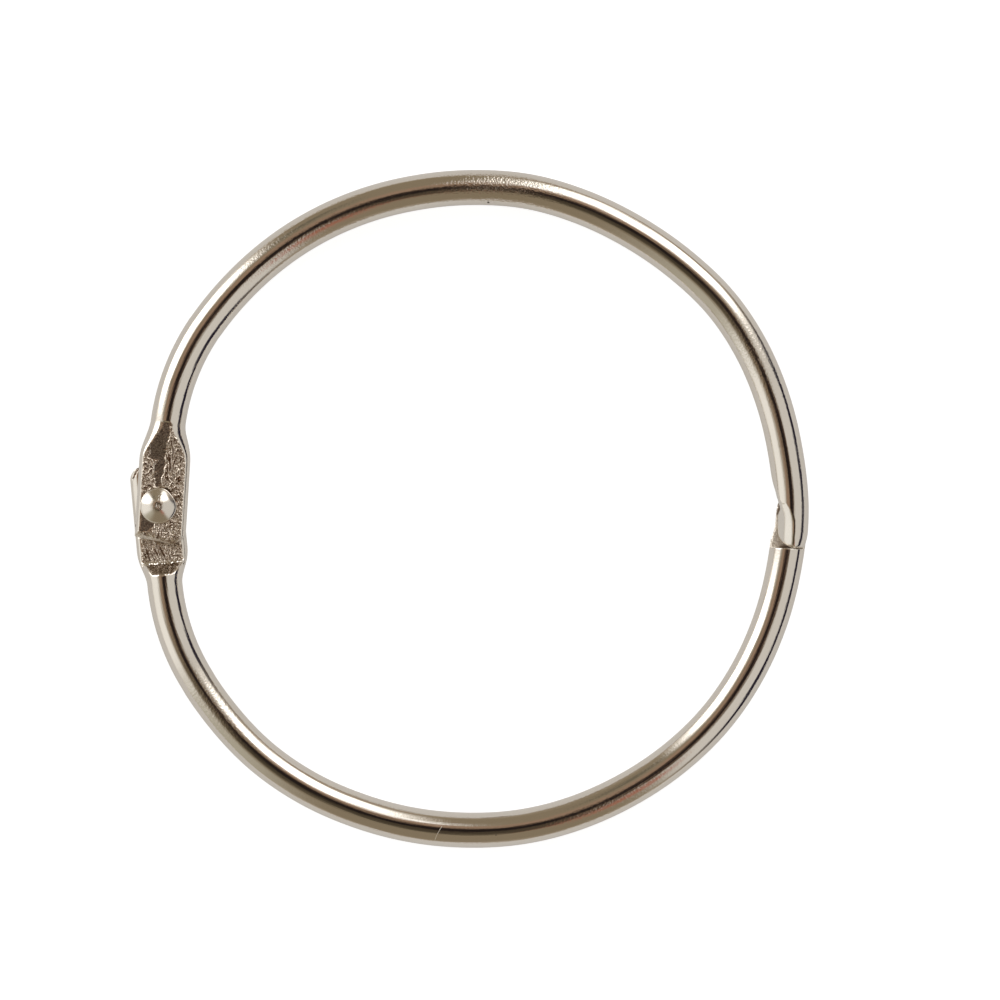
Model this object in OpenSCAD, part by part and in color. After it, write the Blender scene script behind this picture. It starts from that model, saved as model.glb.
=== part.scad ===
// Hinged wire ring for hanging a curtain: two half rings of round steel wire, riveted
// together at one end through flattened ears and lapped together at the other.
// Lengths are millimetres. The ring lies in the XY plane, its rivet at -X, its clasp at +X.

/* [Ring] */
// Inside diameter of the closed ring
inside_d = 50.8; // [46:0.1:70]
// Diameter of the round wire
wire_d = 2.95; // [2.8:0.05:3.2]
// Distance between the centres of the two half rings, along Y
half_spread = 0.2; // [0:0.05:0.6]
// How much nearer the hinge the lower half ring stands than the upper one
lower_set = 0.08; // [0:0.02:0.2]

/* [Hinge] */
// Distance from the middle of the wire in to the rivet's axis
rivet_inset = 0.85; // [0.4:0.05:1.4]
// Centreline radius of the bend that turns the wire into its ear
bend_r = 18.5; // [12:0.1:21]
// Lean of the upper half's ear from the Y axis, in degrees
upper_lean = 3; // [0:0.1:8]
// Lean of the lower half's ear from the Y axis, in degrees
lower_lean = 5.8; // [0:0.1:8]
// How far the upper ear's middle runs inside the rivet's axis
upper_ear_in = 0.25; // [-0.3:0.01:0.3]
// How far the lower ear's middle runs outside the rivet's axis
lower_ear_out = 0.16; // [-0.3:0.01:0.3]

/* [Ears] */
// Width of a flattened ear over its bulged sides
ear_w = 4.27; // [4:0.01:4.6]
// Width of an ear's flat faces
ear_face_w = 3.6; // [3.3:0.01:3.8]
// Thickness of an ear
ear_t = 1.25; // [1.1:0.01:1.35]
// Reach of the upper ear past the rivet's axis
upper_reach = 3.15; // [3:0.01:3.5]
// Reach of the lower ear past the rivet's axis
lower_reach = 3.4; // [3:0.01:3.5]
// Slant of the shear cut at an ear's end, in degrees
shear_slant = 14.7; // [8:0.1:20]
// Corner radius where the shear cut meets the ear's longer side
ear_corner_r = 1.25; // [0.8:0.05:1.6]
// Distance from the rivet's axis to the start of the upper ear's flattening
upper_flat_from = 7.05; // [6.4:0.05:7.5]
// Distance from the rivet's axis to the start of the lower ear's flattening
lower_flat_from = 6.6; // [6.4:0.05:7.5]
// Distance from the rivet's axis to where the ear has its full width
flat_to = 3.5; // [3:0.05:4]
// Width of the flat where it first bites into the round wire
flat_bite_w = 0.9; // [0.6:0.1:1.4]
// Distance from the rivet's axis to the foot of the shoulder under an ear
shoulder_foot = 4.8; // [4.6:0.05:5.2]
// Run of that shoulder's slope along the wire
shoulder_run = 1; // [0.6:0.05:1.4]

/* [Rivet] */
// Diameter of the rivet's shank
shank_d = 1.9; // [1.6:0.05:2.1]
// Diameter of both rivet heads
head_d = 3.05; // [2.8:0.05:3.3]
// Height of the domed front head
head_h = 0.75; // [0.7:0.05:1.3]
// Height of the formed back head
tail_h = 0.6; // [0.4:0.05:1]
// Radius of the dimple in the front head
dimple_r = 0.28; // [0.15:0.01:0.4]
// Radial clearance of the shank in the upper ear, which turns on it
turning_gap = 0.04; // [0.02:0.01:0.06]
// Radial clearance of the shank in the lower ear, which holds it
seat_gap = 0.01; // [0.01:0.005:0.02]
// Play between the two ears, and between the front head and the upper ear
face_gap = 0.04; // [0.02:0.01:0.06]

/* [Clasp] */
// Angle of the clasp's middle from the X axis, in degrees
lap_angle = -2.25; // [-5:0.05:5]
// Length over which the two tongues lap
lap_l = 4.1; // [3.4:0.1:4.8]
// Gap between a tongue's tip and the shoulder it meets
tip_gap = 0.06; // [0.04:0.01:0.1]
// Radius of the tongue's inner tip corner
tip_corner_r = 1.6; // [1.2:0.1:1.6]
// Tilt of the scoop that thins a tongue on its inner side, in degrees
scoop_tilt = 49.5; // [40:0.5:55]
// Depth of that scoop at the tongue's tip
scoop_depth = 0.61; // [0.4:0.01:0.75]
// Length of the upper tongue's scoop that is flat, from the tip
upper_scoop_flat = 2.4; // [1.6:0.05:2.6]
// Length of the lower tongue's scoop that is flat, from the tip
lower_scoop_flat = 1.6; // [1.6:0.05:2.6]
// Depth of the upper tongue's side trim, inside the ring
trim_depth = 0.33; // [0.1:0.01:0.5]
// Length of the taper that leads into that trim before the tongue's root
trim_run = 2.7; // [1:0.1:4]

/* [Hidden] */
$fn = 64;

wire_r = wire_d / 2;
ring_r = inside_d / 2 + wire_r;
rivet_x = -(ring_r - rivet_inset);
floor_z = face_gap / 2;
ear_top = floor_z + ear_t;
ear_mid = floor_z + ear_t / 2;
ear_rise = ear_t / 2 / sqrt(1 - pow(ear_face_w / ear_w, 2));
bite_z = sqrt(pow(wire_r, 2) - pow(flat_bite_w / 2, 2));
bite_run = 0.1;
spread_bias = 1.4;
shoulder_top = shoulder_foot + shoulder_run;
seam = 0.01;
seam_run = 0.1;
beyond = 3 * wire_d;
side_steps = 14;
bend_steps = 14;
flat_steps = 18;
crown_angle = 90 - 90 / (2 * side_steps);

function mix(a, b, k) = a + (b - a) * k;
// Smooth step from 0 to 1 while a distance t falls from one place to another
function fall_step(t, from, to) =
    let (k = max(0, min(1, (from - t) / (from - to)))) k * k * (3 - 2 * k);
function across(lean) = [cos(lean), -sin(lean)];
function along(lean) = [sin(lean), cos(lean)];

// How far up the ear its bend begins: the bend's arc touches the ear's middle line, which
// stands on the X axis at foot_x, and the circle of the half ring about its centre
function bend_start(foot_x, lean, centre) =
    let (d = [foot_x, 0] + bend_r * across(lean) - centre, k = d * along(lean))
    sqrt(k * k - d * d + pow(ring_r - bend_r, 2)) - k;
function bend_centre(foot_x, lean, centre) =
    [foot_x, 0] + bend_r * across(lean) + bend_start(foot_x, lean, centre) * along(lean);
// Angle of the wire's middle line from the Y axis where the bend runs into the half ring
function bend_end_lean(foot_x, lean, centre) =
    let (d = bend_centre(foot_x, lean, centre) - centre) atan2(d[1], -d[0]);

// One side of the wire's section at a distance t up the ear, from its back to its face:
// round wire that is pressed flat and spreads sideways towards the rivet
function section_side(t, flat_from) =
    let (
        spread = 1 - pow(1 - fall_step(t, flat_from, flat_to), spread_bias),
        half_w = mix(wire_r - seam, ear_w / 2, spread),
        mid = mix(0, ear_mid, spread),
        rise = mix(wire_r - seam, ear_rise, spread),
        drop = mix(mid + wire_r - seam, ear_rise, fall_step(t, shoulder_top, shoulder_foot)),
        face = mix(bite_z - seam, ear_top, fall_step(t, mix(flat_from, flat_to, 0.2), flat_to)),
        face_angle = t > flat_from ? crown_angle : asin((face - mid) / rise)
    )
    [for (j = [0:side_steps])
        let (a = mix(-90, face_angle, j / side_steps))
        [half_w * cos(a), mid + (a < 0 ? drop : rise) * sin(a)]];

// The whole section: that side, then the same mirrored without the shared point at its back
function section(t, flat_from) =
    let (side = section_side(t, flat_from))
    concat(side, [for (j = [side_steps:-1:1]) [-side[j][0], side[j][1]]]);

// The wire swept from the half ring through its bend and its flattening, to past the ear's end
module ear_sweep(foot_x, lean, centre, reach, flat_from) {
    straight = bend_start(foot_x, lean, centre);
    turn = bend_end_lean(foot_x, lean, centre) - lean;
    middle = bend_centre(foot_x, lean, centre);
    ts = concat(
        [for (i = [0:bend_steps])
            mix(straight + bend_r * turn * PI / 180, flat_from + bite_run, i / bend_steps)],
        [for (i = [0:flat_steps]) mix(flat_from, flat_to, i / flat_steps)],
        [-(reach + wire_r)]);
    n = 2 * side_steps + 1;
    last = len(ts) - 1;
    points = [for (t = ts)
        let (
            a = lean + max(0, t - straight) / bend_r * 180 / PI,
            p = t < straight ? [foot_x, 0] + t * along(lean) : middle - bend_r * across(a)
        )
        for (s = section(t, flat_from)) [each (p + s[0] * across(a)), s[1]]];
    walls = [for (i = [0:last - 1], j = [0:n - 1])
        [i * n + j, (i + 1) * n + j, (i + 1) * n + (j + 1) % n, i * n + (j + 1) % n]];
    caps = [[for (j = [0:n - 1]) j], [for (j = [n - 1:-1:0]) last * n + j]];
    polyhedron(points, concat(walls, caps), convexity = 6);
}

// What the slanted shear cut leaves of an ear: it runs out to a round corner on one side
module shear_keep(reach, side) {
    corner = [side * (ear_w / 2 + 2 * seam - ear_corner_r), ear_corner_r - reach];
    cut_dir = [-side * cos(shear_slant), sin(shear_slant)];
    cut_from = corner - ear_corner_r * [side * sin(shear_slant), cos(shear_slant)];
    translate([0, 0, -beyond]) {
        linear_extrude(2 * beyond)
            polygon([
                corner, cut_from, cut_from + beyond * cut_dir, [-side * beyond, 2 * beyond],
                [side * beyond, 2 * beyond], [side * beyond, corner[1]]]);
        translate(corner) cylinder(r = ear_corner_r, h = 2 * beyond);
    }
}

// The metal cut away behind an ear, up to the sloping shoulder
module shoulder_cut() {
    drop = 2 * (wire_r + floor_z);
    rotate([90, 0, 90])
        linear_extrude(2 * beyond, center = true)
            polygon([
                [-beyond, floor_z], [shoulder_foot, floor_z],
                [shoulder_foot + 2 * shoulder_run, floor_z - drop], [-beyond, floor_z - drop]]);
}

// A frame on the wire in the middle of the clasp, whose Y runs along the wire
module at_clasp(lap_at) {
    rotate([0, 0, lap_at]) translate([ring_r, 0, 0]) children();
}

// What is cut from the clasp end of a half ring to leave its tongue
module tongue_cut(scoop_flat) {
    tip = tip_gap - lap_l / 2;
    root = lap_l / 2;
    flat_end = tip + scoop_flat;
    run_out_r = (pow(root - flat_end, 2) + pow(scoop_depth, 2)) / (2 * scoop_depth);
    corner = [
        tip_corner_r - (wire_r - scoop_depth) / sin(scoop_tilt), tip + tip_corner_r];
    // Behind the tongue, and past its tip
    translate([-beyond / 2, root - beyond, floor_z - beyond]) cube(beyond);
    translate([-beyond / 2, tip - beyond, -beyond / 2]) cube(beyond);
    // The rounded inner corner of the tip
    difference() {
        translate([corner[0] - beyond, tip - wire_r, 0])
            cube([beyond, tip_corner_r + wire_r, wire_d]);
        translate([corner[0], corner[1], -seam]) cylinder(r = tip_corner_r, h = wire_d + 2 * seam);
    }
    // The scoop: flat from the tip, then round, running out of the wire at the root
    rotate([0, -scoop_tilt, 0]) translate([0, flat_end, wire_r - scoop_depth]) {
        translate([-wire_d, -beyond, 0]) cube([2 * wire_d, beyond, wire_d]);
        translate([0, 0, run_out_r]) rotate([0, 90, 0])
            cylinder(r = run_out_r, h = 2 * wire_d, center = true);
    }
}

// The taper and trim along the inner side of the upper tongue
module side_trim() {
    edge = -wire_r + trim_depth;
    root = lap_l / 2;
    inner_r = ring_r - wire_r;
    taper_at = (root + trim_run) / ring_r * 180 / PI;
    taper_from = [inner_r * cos(taper_at) - ring_r, inner_r * sin(taper_at)];
    translate([0, 0, -beyond / 2])
        linear_extrude(beyond)
            polygon([
                taper_from, [edge, root], [edge, -beyond], [-beyond, -beyond],
                [-beyond, taper_from[1]]]);
}

// One half ring, seen with its ear and its tongue in front
module half_ring(foot_x, lean, centre, reach, flat_from, shear_side, lap_at, scoop_flat) {
    arc_from = lap_at - lap_l / ring_r * 180 / PI;
    arc_to = 180 - bend_end_lean(foot_x, lean, centre) + seam_run / ring_r * 180 / PI;
    difference() {
        union() {
            translate(centre) rotate([0, 0, arc_from])
                rotate_extrude(angle = arc_to - arc_from)
                    translate([ring_r, 0]) circle(wire_r);
            intersection() {
                ear_sweep(foot_x, lean, centre, reach, flat_from);
                translate([foot_x, 0, 0]) rotate([0, 0, -lean]) shear_keep(reach, shear_side);
            }
        }
        translate([foot_x, 0, 0]) rotate([0, 0, -lean]) shoulder_cut();
        translate([centre[0], 0, 0]) at_clasp(lap_at) tongue_cut(scoop_flat);
    }
}

module rivet_hole(clearance) {
    translate([rivet_x, 0, -beyond]) cylinder(r = shank_d / 2 + clearance, h = 2 * beyond);
}

module upper_half_ring() {
    color("silver") difference() {
        half_ring(rivet_x + upper_ear_in, upper_lean, [0, half_spread / 2],
            upper_reach, upper_flat_from, 1, lap_angle, upper_scoop_flat);
        at_clasp(lap_angle) side_trim();
        rivet_hole(turning_gap);
    }
}

// The lower half ring is laid out like the upper one and then turned over
module lower_half_ring() {
    color("silver") difference() {
        rotate([180, 0, 0])
            half_ring(rivet_x - lower_ear_out, lower_lean, [-lower_set, half_spread / 2],
                lower_reach, lower_flat_from, -1, -lap_angle, lower_scoop_flat);
        rivet_hole(seat_gap);
    }
}

// A cap of a ball, on a base of the head's diameter
module rivet_cap(height) {
    ball_r = (pow(head_d / 2, 2) + pow(height, 2)) / (2 * height);
    intersection() {
        translate([0, 0, height - ball_r]) sphere(ball_r);
        cylinder(d = head_d + 1, h = height + 1);
    }
}

module hinge_rivet() {
    head_seat = ear_top + face_gap;
    color("gainsboro") translate([rivet_x, 0, 0]) {
        translate([0, 0, -ear_top - tail_h / 2])
            cylinder(d = shank_d, h = ear_top + tail_h / 2 + head_seat + head_h / 2);
        translate([0, 0, head_seat]) difference() {
            rivet_cap(head_h);
            translate([0, 0, head_h + dimple_r / 2]) sphere(dimple_r);
        }
        translate([0, 0, -ear_top]) rotate([180, 0, 0]) rivet_cap(tail_h);
    }
}

upper_half_ring();
lower_half_ring();
hinge_rivet();
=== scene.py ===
"""A hinged wire ring for a curtain, closed and lying flat in a small studio.

Two half rings of nickel-plated steel wire are riveted together through flattened ears on
the left and lapped together by thinned tongues on the right.  Shapes are worked out in
millimetres, in the part's own frame, and scaled to metres when a mesh is made.
"""

import math

import bpy
import numpy as np
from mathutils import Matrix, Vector, noise


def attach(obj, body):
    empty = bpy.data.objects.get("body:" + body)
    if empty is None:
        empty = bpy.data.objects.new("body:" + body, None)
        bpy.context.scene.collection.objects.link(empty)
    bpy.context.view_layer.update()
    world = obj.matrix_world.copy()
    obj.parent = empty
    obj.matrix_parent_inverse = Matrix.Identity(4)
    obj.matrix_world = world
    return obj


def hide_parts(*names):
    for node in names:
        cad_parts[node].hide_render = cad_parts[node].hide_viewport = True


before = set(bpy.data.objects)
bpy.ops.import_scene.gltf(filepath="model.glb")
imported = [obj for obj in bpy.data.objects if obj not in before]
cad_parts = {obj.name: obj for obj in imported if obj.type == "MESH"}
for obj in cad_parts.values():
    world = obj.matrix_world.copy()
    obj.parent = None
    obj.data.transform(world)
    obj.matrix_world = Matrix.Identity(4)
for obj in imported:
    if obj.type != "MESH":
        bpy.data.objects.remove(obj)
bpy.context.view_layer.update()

MM = 0.001

# The camera's view in pixels: its width, how many go to a millimetre, and where the middle
# of the ring stands in it
VIEW_W = 1000
PIXELS_PER_MM = 11.94
RING_AT_X = 470.3
RING_AT_Y = 508.6

# The ring and its wire
WIRE_R = 1.475
RING_R = 25.4 + WIRE_R
RIVET_X = -(RING_R - 0.85)

# The ears, pressed flat out of the wire
EAR_T = 1.25
EAR_W = 4.27
EAR_FACE_W = 3.6
FLAT_TO = 3.5
FLAT_BITE_W = 0.9
SPREAD_BIAS = 1.4
BEND_R = 18.5
SHEAR_SLANT = math.radians(9)
EAR_CORNER_R = 1.25
SHOULDER_FOOT = 4.8
SHOULDER_RUN = 1.0
FLOOR_Z = 0.02
EAR_TOP = FLOOR_Z + EAR_T
EAR_MID = FLOOR_Z + EAR_T / 2
EAR_RISE = EAR_T / 2 / math.sqrt(1 - (EAR_FACE_W / EAR_W) ** 2)
BITE_Z = math.sqrt(WIRE_R ** 2 - (FLAT_BITE_W / 2) ** 2)

# The tongues of the clasp
LAP_L = 4.1
TIP_GAP = 0.06
TIP_Y = TIP_GAP - LAP_L / 2
ROOT_Y = LAP_L / 2
TIP_CORNER_R = 1.6
TIP_CORNER_X = 0.462
SMALL_CORNER_R = 0.65
SMALL_CORNER_X = -0.62
# The scoop is filed in two flats: (tilt, how widely its edge is rounded, how deep it is at
# some places up the tongue)
SCOOP_FLATS = [
    (math.radians(33), 0.2, [(-2.1, 0.47), (-1.5, 0.405), (-1.0, 0.34), (-0.5, 0.31), (0.1, 0.28),
                             (0.8, 0.175), (1.1, 0.12), (1.7, 0)]),
    (math.radians(55.4), 0.1, [(-2.1, 0.53), (-1.5, 0.495), (-1.0, 0.45), (-0.5, 0.43), (0.1, 0.405),
                               (0.7, 0.325), (1.2, 0.19), (1.9, 0)])]
SHOULDER_FLAT_W = 1.76
SHOULDER_W = 3.34
SHEAR_ROLL_L = 0.42
SHEAR_ROLL_H = 0.42
SHEAR_ROLL_TAPER = 0.09
TRIM_DEPTH = 0.33
TRIM_RUN = 1.6
TRIM_HOLLOW = 0.17
TRIM_HOLLOW_Y = 1.3
TIP_ROLL = 0.22
TIP_ROLL_L = 1.5
# How far up the wire the finely laid out clasp reaches from its middle
CLASP_REACH = 6.5

# The rivet
SHANK_R = 0.95
HEAD_R = 1.525
HEAD_H = 0.73
TAIL_H = 0.6
DIMPLE_R = 0.28
DIMPLE_DEPTH = 0.02
WORN_DEPTH = 0.011
FACE_GAP = 0.04

# How finely the wire's surface is laid out
AROUND = 176
EDGE_ROUND = 0.07
# Where the sections of the ear's end start, and a depth that no cut reaches
EAR_ROOT = -1.0
NO_CUT = -9

POLISHED, STAMPED, SHEARED, FILED = range(4)

# Flaws in the plating: dark specks (x, y, z, radius), and a scratch (x, y, half length,
# bow, lean)
SPECKS = [(1.28, 25.62, 0.70, 0.13), (1.26, 25.76, 0.86, 0.09), (2.40, -27.22, 1.44, 0.07),
          (9.0, -24.5, 1.4, 0.06), (6.9, -25.9, 1.4, 0.06), (-27.93, -1.67, 0.8, 0.16)]
SCRATCH = (-2.45, -27.1, 0.62, 0.055, 0.5)
SCRATCH_W = 0.055

# Stretches of the ring with grainier plating: (middle and reach in degrees, how grainy)
GRAINY = [(86, 15, 0.8), (28, 12, 0.35), (120, 28, 0.18), (-140, 10, 0.4), (-66, 14, 0.25)]


class HalfRing:
    """The sizes in which the two half rings differ, each seen with its ear in front."""

    def __init__(self, foot_x, lean, centre, reach, flat_from, shear_side, lap_at,
                 is_upper, waver, calm, drawn, drag, seed):
        self.foot = np.array([foot_x, 0.0])
        self.lean = math.radians(lean)
        self.centre = np.array(centre)
        self.reach = reach
        self.flat_from = flat_from
        self.shear_side = shear_side
        self.lap_at = math.radians(lap_at)
        self.is_upper = is_upper
        self.waver = waver
        self.calm = calm
        self.drawn = drawn
        self.drag = drag
        self.seed = seed
        self.across = np.array([math.cos(self.lean), -math.sin(self.lean)])
        self.along = np.array([math.sin(self.lean), math.cos(self.lean)])
        from_centre = self.foot + BEND_R * self.across - self.centre
        k = from_centre @ self.along
        self.straight = math.sqrt(k * k - from_centre @ from_centre + (RING_R - BEND_R) ** 2) - k
        self.bend_centre = self.foot + BEND_R * self.across + self.straight * self.along
        d = self.bend_centre - self.centre
        self.bend_end = math.atan2(d[1], -d[0])
        self.arc_start = self.straight + BEND_R * (self.bend_end - self.lean)
        self.clasp_x = np.array([math.cos(self.lap_at), math.sin(self.lap_at)])
        self.clasp_y = np.array([-math.sin(self.lap_at), math.cos(self.lap_at)])
        self.clasp = np.array([self.centre[0], 0.0]) + RING_R * self.clasp_x


# waver is how far the bending left the wire's middle off its circle, as (place round the half
# ring in degrees, hundredths of a millimetre).  calm and drawn are ovals on the ear's flat, as
# (across, along, half width, half length), that the press left smooth or drew into ridges.
UPPER = HalfRing(foot_x=RIVET_X + 0.25, lean=3, centre=(0, 0.1), reach=3.15, flat_from=7.05,
                 shear_side=1, lap_at=-2.25, is_upper=True, drag=0.05, seed=3, waver=
                 [(-9, 0), (0, 0), (10, -8), (20, 1), (30, 15), (39, 20), (50, 2), (60, -7),
                  (70, -4), (80, 2), (90, -8), (100, -13), (110, -10), (122, -6), (138, -5),
                  (150, 0)], calm=
                 [(-0.2, 6.5, 0.55, 1.1), (-0.5, 5.2, 0.85, 0.9), (-0.6, 4.4, 0.8, 0.7),
                  (-0.3, 3.3, 0.5, 0.9), (-0.33, 2.2, 0.42, 0.9), (-1.2, -1.5, 0.75, 0.85),
                  (-1.75, 0, 0.3, 1.5)], drawn=
                 [(0.55, 4.1, 0.4, 2.1), (0.1, 2.3, 0.2, 0.8), (-0.1, -1.9, 0.45, 0.8),
                  (-1.2, -2.6, 0.7, 0.4)])
LOWER = HalfRing(foot_x=RIVET_X - 0.16, lean=5.8, centre=(-0.08, 0.1), reach=3.4, flat_from=6.6,
                 shear_side=-1, lap_at=2.25, is_upper=False, drag=0.36, seed=11, waver=
                 [(-9, 0), (0, 0), (10, -8), (20, -1), (30, 9), (40, 16), (50, 11), (60, 5),
                  (80, 3), (91, -5), (101, -5), (110, -2), (120, 9), (130, 14), (140, 5),
                  (152, 0)], calm=
                 [(-1.55, 3.55, 0.4, 0.4), (-0.3, 6.2, 0.5, 1.0), (0.1, 2.4, 0.6, 1.0),
                  (0.9, -1.6, 0.8, 0.8)], drawn=
                 [(-0.95, 4.0, 0.95, 0.9), (0.1, 4.0, 0.6, 0.9), (0.6, 1.9, 0.5, 1.2)])


# ---------------------------------------------------------------- small helpers

def mix(a, b, k):
    return a + (b - a) * k


def smooth_step(k):
    k = np.clip(k, 0, 1)
    return k * k * (3 - 2 * k)


def fall_step(t, start, end):
    """0 while t is above start, rising smoothly to 1 as it falls to end."""
    return smooth_step((start - t) / (start - end))


def soft_max(a, b, width=EDGE_ROUND):
    """The larger of two distances, with the edge where they meet rounded over."""
    h = np.maximum(width - np.abs(a - b), 0) / width
    return np.maximum(a, b) + h * h * width / 4


def soft_min(a, b, width=EDGE_ROUND):
    return -soft_max(-a, -b, width)


def smooth_through(knots, x):
    """A curve through (place, height) knots that is level at each of them."""
    xs = np.array([k[0] for k in knots], float)
    hs = np.array([k[1] for k in knots], float)
    i = np.clip(np.searchsorted(xs, x) - 1, 0, len(xs) - 2)
    slope = np.gradient(hs, xs)
    w = xs[i + 1] - xs[i]
    k = np.clip((x - xs[i]) / w, 0, 1)
    a, b = hs[i], hs[i + 1]
    ma, mb = slope[i] * w, slope[i + 1] * w
    return ((2 * k ** 3 - 3 * k ** 2 + 1) * a + (k ** 3 - 2 * k ** 2 + k) * ma
            + (-2 * k ** 3 + 3 * k ** 2) * b + (k ** 3 - k ** 2) * mb)


# ---------------------------------------------------------------- the half rings' surface

def wire_section(half, t, s, z):
    """How far (s, z) is outside the wire's section at a distance t up the ear."""
    spread = 1 - (1 - fall_step(t, half.flat_from, FLAT_TO)) ** SPREAD_BIAS
    half_w = mix(WIRE_R, EAR_W / 2, spread)
    mid = mix(0, EAR_MID, spread)
    rise = mix(WIRE_R, EAR_RISE, spread)
    drop = mix(mid + WIRE_R, EAR_RISE, fall_step(t, SHOULDER_FOOT + SHOULDER_RUN, SHOULDER_FOOT))
    tall = np.where(z > mid, rise, drop)
    return (np.hypot(s / half_w, (z - mid) / tall) - 1) * np.minimum(half_w, tall)


def ear_face(half, t):
    """Height of the flat that the press leaves on the ear and bites into the wire."""
    bitten = mix(half.flat_from, FLAT_TO, 0.2)
    face = mix(BITE_Z, EAR_TOP, fall_step(t, bitten, FLAT_TO))
    return np.where(t > half.flat_from, WIRE_R + 1, face)


def half_ring_cuts(half, t, s, x, y, z):
    """(how far each point is outside the half ring, which finish it has there)."""
    on_arc = t > half.arc_start
    ring = np.hypot(np.hypot(x - half.centre[0], y - half.centre[1]) - RING_R - wavering(half, x, y), z)
    cx = (x - half.clasp[0]) * half.clasp_x[0] + (y - half.clasp[1]) * half.clasp_x[1]
    cy = (x - half.clasp[0]) * half.clasp_y[0] + (y - half.clasp[1]) * half.clasp_y[1]
    near_clasp = on_arc & (cy < 8) & (x > 0)
    rolled_over = np.where(near_clasp, TIP_ROLL * np.clip(1 - (cy - TIP_Y) / TIP_ROLL_L, 0, 1) ** 2, 0)
    out = np.where(on_arc, ring - WIRE_R + rolled_over, wire_section(half, t, s, z))
    finish = np.full(out.shape, POLISHED)

    def cut(amount, kind, width=EDGE_ROUND):
        nonlocal out, finish
        finish = np.where(amount > out, kind, finish)
        out = soft_max(out, amount, width)

    # The pressed face in front of the ear, with the ring that the rivet's head dented
    round_rivet = np.hypot(x - RIVET_X, y)
    groove = 0.17 * np.exp(-((round_rivet - 1.52) / 0.1) ** 2)
    raised = 0.045 * np.exp(-((round_rivet - 1.7) / 0.06) ** 2)
    dent = (groove - raised) * dent_share(x, y)
    pressed = z - ear_face(half, t) + np.where(half.is_upper, dent, 0)
    cut(np.where(on_arc, NO_CUT, pressed), STAMPED)
    # The metal taken away behind the ear, up to a shoulder whose top edge is straight in the
    # middle and runs back to the foot at both sides
    te = (x - half.foot[0]) * half.along[0] + (y - half.foot[1]) * half.along[1]
    te = te + 0.022 * np.sin(9.5 * s + half.seed) + 0.014 * np.sin(17.3 * s)
    to_side = (SHOULDER_W / 2 - np.abs(s)) / ((SHOULDER_W - SHOULDER_FLAT_W) / 2)
    run = SHOULDER_RUN * np.clip(to_side, 0.04, 1)
    wire_at = WIRE_R * np.sqrt(np.maximum(1 - (2 * s / SHOULDER_W) ** 2, 0))
    slope = (wire_at + FLOOR_Z) / run
    flat = FLOOR_Z - z
    ramp = (FLOOR_Z - slope * (te - SHOULDER_FOOT) - z) / np.hypot(1, slope)
    crease = te + 0.035 * np.sin(15 * s + 1) - SHOULDER_FOOT + 0.03
    burr = 0.085 * np.exp(-(crease / 0.08) ** 2) * (0.8 + 0.2 * np.sin(11 * s + 1))
    away = np.where(on_arc, NO_CUT, soft_min(flat, ramp, 0.08) - burr)
    if not half.is_upper:
        # The lower ear is crowned towards its free edge
        crown = np.clip((-1.42 - s) / 0.71, 0, 1) ** 1.7 * 0.42
        crown = crown * (1 - smooth_step((t - 2.0) / 0.9))
        away = np.where(te < SHOULDER_FOOT - 0.3, away + crown + 0.07 * seam(s, t), away)
    bright = (np.abs(s) > 1.72) | ((s < -1.2) & (t < 2.2)) | (np.abs(crease) < 0.12)
    if not half.is_upper:
        bright = bright & (seam(s, t) < 0.3)
    cut(np.where(bright, away, NO_CUT), POLISHED, 0.1)
    cut(np.where(bright, NO_CUT, away), STAMPED, 0.1)
    # The sheared end's front edge, rolled over by the shear
    from_end = t - shear_line(half, s)
    roll = SHEAR_ROLL_L - SHEAR_ROLL_TAPER * half.shear_side * s
    k = np.clip(1 - from_end / roll, 0, 1)
    rolled = z - (EAR_TOP - SHEAR_ROLL_H * k ** 1.2)
    clean = (k > 0.45) & (s < 1.0) | (not half.is_upper)
    in_roll = (t < EAR_ROOT) & (k > 0)
    cut(np.where(in_roll & clean, rolled, NO_CUT), SHEARED, 0.04)
    cut(np.where(in_roll & ~clean, rolled, NO_CUT), STAMPED, 0.04)
    # The clasp: half the wire behind the tongue, the rounded corner, the scoop, the side trim
    behind = soft_min(ROOT_Y - cy, FLOOR_Z - z, 0.05)
    cut(np.where(near_clasp, behind, NO_CUT), SHEARED, 0.04)
    corner_r, corner_x = TIP_CORNER_R, TIP_CORNER_X
    if not half.is_upper:
        corner_r, corner_x = SMALL_CORNER_R, SMALL_CORNER_X
    corner_y = TIP_Y + corner_r
    round_end = np.hypot(np.maximum(corner_x - cx, 0), np.maximum(corner_y - cy, 0)) - corner_r
    cut(np.where(near_clasp & (cy < corner_y), round_end, NO_CUT), FILED, 0.24)
    for tilt, width, depths in SCOOP_FLATS:
        depth = smooth_through(depths, cy)
        scoop = -math.sin(tilt) * cx + math.cos(tilt) * z - (WIRE_R - depth)
        scooped = near_clasp & (depth > 0.002)
        cut(np.where(scooped, scoop, NO_CUT), FILED, width * np.clip(depth / 0.25, 0.1, 1))
    if half.is_upper:
        trim_edge = -WIRE_R + TRIM_DEPTH + TRIM_HOLLOW * np.exp(-((cy - TRIM_HOLLOW_Y) / 0.4) ** 2)
        inner_r = RING_R - WIRE_R
        a = (ROOT_Y + TRIM_RUN) / RING_R
        start = np.array([inner_r * math.cos(a) - RING_R, inner_r * math.sin(a)])
        d = start - np.array([TRIM_DEPTH - WIRE_R, ROOT_Y])
        d /= np.hypot(*d)
        taper = -((cx - TRIM_DEPTH + WIRE_R) * d[1] - (cy - ROOT_Y) * d[0])
        cut(np.where(near_clasp, soft_min(trim_edge - cx, taper, 0.3), NO_CUT), FILED, 0.15)
    return out, finish


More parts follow.
